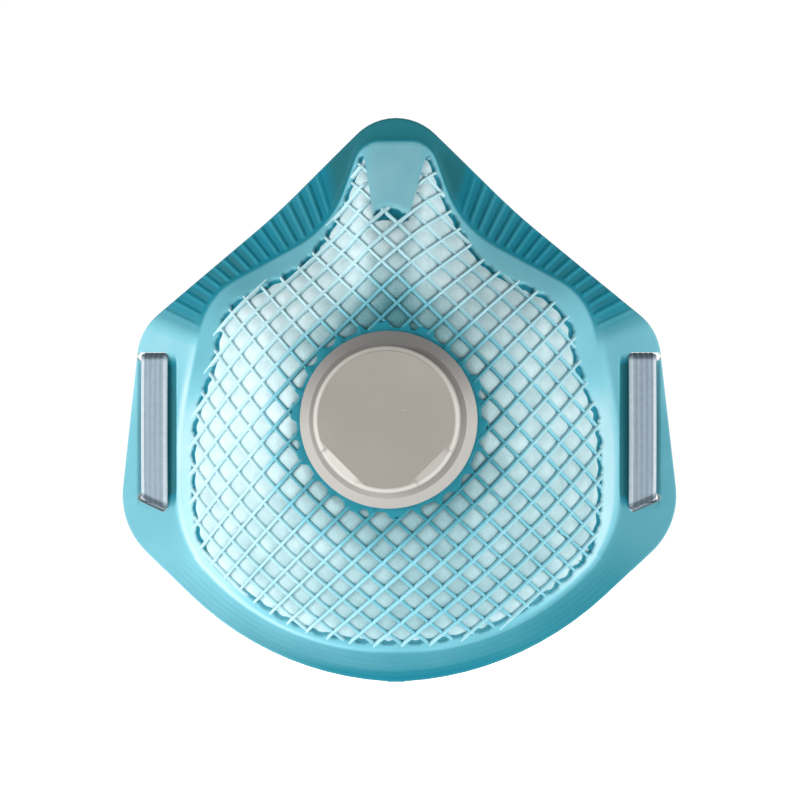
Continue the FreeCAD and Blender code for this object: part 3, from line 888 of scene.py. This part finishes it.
# ---------------------------------------------------------------- inside
def make_liner():
    """The soft inner layer; behind the flange it carries an embossed seal."""
    columns = 720
    angle = np.linspace(0, 2 * math.pi, columns, endpoint=False)
    outer = rim_reach(angle) - LINER_INSET
    inner = base_reach(angle)
    rows = []
    for share in np.linspace(0, 0.97, 34):
        radius = outer + (inner - outer) * share
        dots = 0.5 + 0.5 * np.cos(2 * math.pi * angle * CRIMP_RADIUS / CRIMP_PITCH)
        band = np.exp(-((outer - radius - CRIMP_INSET) / CRIMP_WIDTH) ** 2)
        crimp = CRIMP_HEIGHT * np.round(dots) * band
        rows.append((radius, FLANGE_DEPTH - 0.05 - crimp - curl(outer - radius, 0.4) * 0.6))
    for share in np.linspace(0.02, 1, 60):
        radius = inner + (HOLE_RADIUS - inner) * share
        rise = smoothstep(share, -0.02, 0.07)
        rows.append((radius, FLANGE_DEPTH + (LINER_DEPTH + LINER_THICK - FLANGE_DEPTH) * rise))
    back = []
    for share in np.linspace(1, 0.02, 20):
        radius = inner + (HOLE_RADIUS - inner) * share
        rise = smoothstep(share, -0.02, 0.07)
        back.append((radius, FLANGE_DEPTH - LINER_THICK + 0.1
                     + (LINER_DEPTH - FLANGE_DEPTH + LINER_THICK) * rise))
    for share in (0.97, 0.5, 0.02):
        radius = outer + (inner - outer) * share
        back.append((radius, np.full(columns, FLANGE_DEPTH - LINER_THICK + 0.1)))
    rows += back
    points = np.concatenate([polar_points(angle, radius, depth * np.ones(columns), LINER_NUDGE)
                             for radius, depth in rows])
    liner = mesh_object("liner_skin", points, grid_faces(len(rows), columns, True, True))
    cut_slits(liner)
    return liner


# ---------------------------------------------------------------- finishes
def set_tone(piece, tones):
    """Stores how deep the colour is at each point, for the materials to read."""
    layer = piece.data.attributes.new("tone", "FLOAT", "POINT")
    layer.data.foreach_set("value", np.asarray(tones, dtype=np.float32))


class Paint:
    """A node material with helpers for the few nodes used here."""

    def __init__(self, name, roughness, **sockets):
        self.material = bpy.data.materials.new(name)
        self.material.use_nodes = True
        self.nodes = self.material.node_tree.nodes
        self.links = self.material.node_tree.links
        self.shader = self.nodes["Principled BSDF"]
        self.shader.inputs["Roughness"].default_value = roughness
        for socket, value in sockets.items():
            self.shader.inputs[socket.replace("_", " ")].default_value = value

    def add(self, kind, **settings):
        node = self.nodes.new(kind)
        for key, value in settings.items():
            setattr(node, key, value)
        return node

    def attribute(self, name):
        return self.add("ShaderNodeAttribute", attribute_name=name)

    def noise(self, scale, detail):
        node = self.add("ShaderNodeTexNoise")
        node.inputs["Scale"].default_value = scale
        node.inputs["Detail"].default_value = detail
        self.links.new(self.add("ShaderNodeTexCoord").outputs["Object"], node.inputs["Vector"])
        return node.outputs["Fac"]

    def place(self):
        """Sockets X, Y and Z of the place in the piece's own coordinates."""
        split = self.add("ShaderNodeSeparateXYZ")
        self.links.new(self.add("ShaderNodeTexCoord").outputs["Object"], split.inputs[0])
        return split.outputs

    def ramp(self, value, stops):
        node = self.add("ShaderNodeValToRGB")
        ramp = node.color_ramp
        while len(ramp.elements) < len(stops):
            ramp.elements.new(0.5)
        for element, (place, colour) in zip(ramp.elements, stops):
            element.position = place
            element.color = (*[channel(c) for c in colour], 1)
        self.links.new(value, node.inputs["Fac"])
        return node.outputs["Color"]

    def math(self, operation, first, second):
        node = self.add("ShaderNodeMath", operation=operation)
        for socket, value in zip(node.inputs, (first, second)):
            if isinstance(value, (int, float)):
                socket.default_value = value
            else:
                self.links.new(value, socket)
        return node.outputs[0]

    def bump(self, height, strength, distance):
        node = self.add("ShaderNodeBump")
        node.inputs["Strength"].default_value = strength
        node.inputs["Distance"].default_value = distance
        self.links.new(height, node.inputs["Height"])
        self.links.new(node.outputs["Normal"], self.shader.inputs["Normal"])

    def colour(self, output):
        self.links.new(output, self.shader.inputs["Base Color"])


def channel(value):
    """Linear value of an 8-bit colour channel."""
    value = value / 255
    return value / 12.92 if value <= 0.04045 else ((value + 0.055) / 1.055) ** 2.4


def teal_plastic(name, mottle):
    paint = Paint(name, 0.58, IOR=1.48, Specular_IOR_Level=0.2)
    # the tone attribute holds the teal's depth, with painted light and shade included
    tone = paint.attribute("tone").outputs["Fac"]
    cloud = paint.math("SUBTRACT", paint.noise(90, 3), 0.5)
    tone = paint.math("ADD", tone, paint.math("MULTIPLY", cloud, mottle))
    paint.colour(paint.ramp(tone, TEAL_STOPS))
    paint.bump(paint.noise(900, 2), 0.12, 0.0004)
    return paint.material


def web_cloth():
    paint = Paint("web_cloth", 0.85)
    fibre = paint.noise(2600, 6)
    patch = paint.noise(160, 3)
    mottle = paint.math("ADD", paint.math("MULTIPLY", fibre, 0.3),
                        paint.math("MULTIPLY", patch, 0.6))
    # the tone attribute carries the web's painted shade
    tone = paint.math("ADD", paint.attribute("tone").outputs["Fac"],
                      paint.math("SUBTRACT", mottle, 0.45))
    paint.colour(paint.ramp(tone, WEB_STOPS))
    paint.bump(fibre, 0.35, 0.0003)
    return paint.material


def hard_plastic(name, roughness):
    paint = Paint(name, roughness, IOR=1.48)
    paint.bump(paint.noise(1500, 2), 0.06, 0.0002)
    return paint


def valve_plastic():
    paint = hard_plastic("valve_plastic", 0.42)
    paint.colour(paint.ramp(paint.noise(60, 3), VALVE_STOPS))
    return paint.material


def seat_plastic():
    """The same plastic, with painted shade darkening it towards the top of the base ring."""
    paint = hard_plastic("seat_plastic", 0.42)
    # painted shade, growing with height over the valve's axis
    height = paint.math("SUBTRACT", paint.place()["Z"], (VALVE_Z + PAINTED_SHADE_FROM) * MM)
    painted_shade = paint.math("DIVIDE", height, PAINTED_SHADE_RISE * MM)
    painted_shade = paint.math("MINIMUM", paint.math("MAXIMUM", painted_shade, 0.0), 1.0)
    tone = paint.math("ADD", painted_shade, paint.math("MULTIPLY", paint.noise(60, 3), 0.1))
    paint.colour(paint.ramp(tone, [(0.0, VALVE_STOPS[1][1]), (1.0, PAINTED_SHADE_COLOUR)]))
    return paint.material


def cover_plastic():
    """The valve's plastic, with a painted highlight along the cover's front edge and painted light
    making its two sloping flats paler, the left one more.
    """
    paint = hard_plastic("cover_plastic", 0.38)
    place = paint.place()
    aside = paint.math("POWER", place["X"], 2.0)
    height = paint.math("SUBTRACT", place["Z"], VALVE_Z * MM)
    radius = paint.math("POWER", paint.math("ADD", aside, paint.math("POWER", height, 2.0)), 0.5)
    # painted highlight in a thin ring at the cover's front edge
    off = paint.math("ABSOLUTE", paint.math("SUBTRACT", radius, HIGHLIGHT_RADIUS * MM), 0)
    painted_highlight = paint.math("SUBTRACT", 1.0, paint.math("DIVIDE", off, HIGHLIGHT_WIDTH * MM))
    painted_highlight = paint.math("MAXIMUM", painted_highlight, 0.0)
    # painted light on the two sloping flats, the left one paler
    for side, paler in ((-1, 0.55), (1, 0.2)):
        chord = paint.math("SUBTRACT", paint.math("MULTIPLY", place["X"], side), height)
        past = paint.math("GREATER_THAN", chord, FLAT_CHORD * math.sqrt(2) * MM)
        inside = paint.math("LESS_THAN", radius, HIGHLIGHT_RADIUS * MM)
        patch = paint.math("MULTIPLY", paint.math("MULTIPLY", past, inside), paler)
        painted_highlight = paint.math("MAXIMUM", painted_highlight, patch)
    tone = paint.math("ADD", paint.math("MULTIPLY", paint.noise(60, 3), 0.3), painted_highlight)
    paint.colour(paint.ramp(tone, COVER_STOPS))
    return paint.material


def make_gate_mark():
    """The little nub left on the cover's face where its mould was filled."""
    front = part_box("valve_cover")[0].y / MM
    points = []
    for share, proud in GATE_PROFILE:
        for step in range(GATE_CORNERS):
            turn = 2 * math.pi * step / GATE_CORNERS
            points.append((GATE_MARK[0] + GATE_RADIUS * share * math.cos(turn), front - proud,
                           VALVE_Z + GATE_MARK[1] + GATE_RADIUS * share * math.sin(turn)))
    rings = len(GATE_PROFILE)
    faces = grid_faces(rings, GATE_CORNERS, False, True)
    faces.append(tuple(range(rings * GATE_CORNERS - 1, (rings - 1) * GATE_CORNERS - 1, -1)))
    faces.append(tuple(range(GATE_CORNERS)))
    return mesh_object("cover_gate_mark", points, faces)


def silicone():
    paint = Paint("flap_silicone", 0.3)
    paint.colour(paint.ramp(paint.noise(120, 2), SILICONE_STOPS))
    return paint.material


def felt(name, low, high, scale):
    paint = Paint(name, 0.9)
    fibre = paint.noise(scale, 5)
    paint.colour(paint.ramp(fibre, [(0.3, low), (0.7, high)]))
    paint.bump(fibre, 0.4, 0.0004)
    return paint.material


def woven_elastic():
    """Lengthwise ribs with fine weft picks across them, paler at the selvedges, with painted shade
    where the straps go into the slits.
    """
    paint = Paint("woven_elastic", 0.8)
    split = paint.add("ShaderNodeSeparateXYZ")
    paint.links.new(paint.attribute("weave_and_shade").outputs["Vector"], split.inputs[0])
    across = split.outputs["X"]
    along = split.outputs["Y"]
    warp = paint.math("SINE", paint.math("MULTIPLY", across, 2 * math.pi / WARP_PITCH), 0)
    weft = paint.math("SINE", paint.math("MULTIPLY", along, 2 * math.pi / WEFT_PITCH), 0)
    picks = paint.math("MULTIPLY", paint.math("MULTIPLY", warp, weft), 0.22)
    picks = paint.math("ADD", picks, 0.5)
    edge = paint.math("GREATER_THAN", paint.math("ABSOLUTE", across, 0), SELVEDGE)
    tone = paint.math("ADD", paint.math("MULTIPLY", picks, 0.6),
                      paint.math("MULTIPLY", edge, 0.35))
    tone = paint.math("ADD", tone, paint.math("MULTIPLY", paint.noise(700, 3), 0.2))
    # painted shade at the strap's ends in the slits
    tone = paint.math("SUBTRACT", tone, paint.math("MULTIPLY", split.outputs["Z"], 0.7))
    paint.colour(paint.ramp(tone, ELASTIC_STOPS))
    paint.bump(picks, 0.5, 0.0003)
    return paint.material


def soften(node, width, segments=3):
    """Rounds a CAD node's edges so that they catch the light."""
    bevel = node.modifiers.new("edges", "BEVEL")
    bevel.width = width * MM
    bevel.segments = segments
    bevel.limit_method = "ANGLE"
    bevel.angle_limit = math.radians(28)
    bevel.harden_normals = False
    node.data.shade_smooth()


def finish_piece(piece, material, body=None, replaced=()):
    """Gives a piece its material, its body and the CAD nodes it stands for."""
    piece.data.materials.clear()
    piece.data.materials.append(material)
    if body:
        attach(piece, body)
    if replaced:
        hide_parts(*replaced)


def build_all():
    make_camera()
    make_stage()
    make_world()
    make_light("left_softbox", (-1.2, -0.7, 0.05), (0.8, 0.5), 15)
    make_light("right_softbox", (1.4, -0.4, 0.15), (0.6, 0.6), 10)
    net = teal_plastic("net_plastic", 0.12)
    valve = valve_plastic()
    elastic = woven_elastic()
    nodes = frame["nodes"]
    finish_piece(make_shell(), net, "mask", ["outer_net"])
    finish_piece(make_strands("strands_falling", False, FALLING_DEPTH), net, "mask")
    finish_piece(make_strands("strands_rising", True, RISING_DEPTH), net, "mask")
    finish_piece(make_collar(), net, "mask")
    finish_piece(make_web(), web_cloth(), "mask", ["cover_web"])
    finish_piece(make_liner(), felt("liner_felt", (212, 217, 220), (234, 237, 238), 1800),
                 "mask", ["inner_liner"])
    finish_piece(make_pass(-1), elastic, "mask", ["strap_left_pass"])
    finish_piece(make_pass(1), elastic, "mask", ["strap_right_pass"])
    crown = make_loop("crown_ribbon", TOP_SLIT_Z, CROWN_DEPTH, CROWN_DROOP, 0)
    neck = make_loop("neck_ribbon", LOW_SLIT_Z, NECK_DEPTH, NECK_DROOP, LOW_SLIT_SLANT)
    finish_piece(crown, elastic, None, ["crown_band"])
    finish_piece(neck, elastic, None, ["neck_band"])
    for loop, body in ((crown, "crown_loop"), (neck, "neck_loop")):
        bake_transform(loop)
    finish_piece(nodes["filter_media"],
                 felt("filter_felt", (224, 226, 224), (240, 241, 238), 2200))
    finish_piece(nodes["nose_foam"], felt("foam_skin", (120, 150, 165), (150, 176, 190), 1500))
    soften(nodes["nose_foam"], FOAM_EDGE, 5)
    for name, paint in (("valve_seat", seat_plastic()), ("valve_cover", cover_plastic()),
                        ("valve_retainer", valve)):
        finish_piece(nodes[name], paint)
        soften(nodes[name], VALVE_EDGE)
    finish_piece(make_gate_mark(), valve, "mask")
    finish_piece(nodes["valve_diaphragm"], silicone())


build_all()
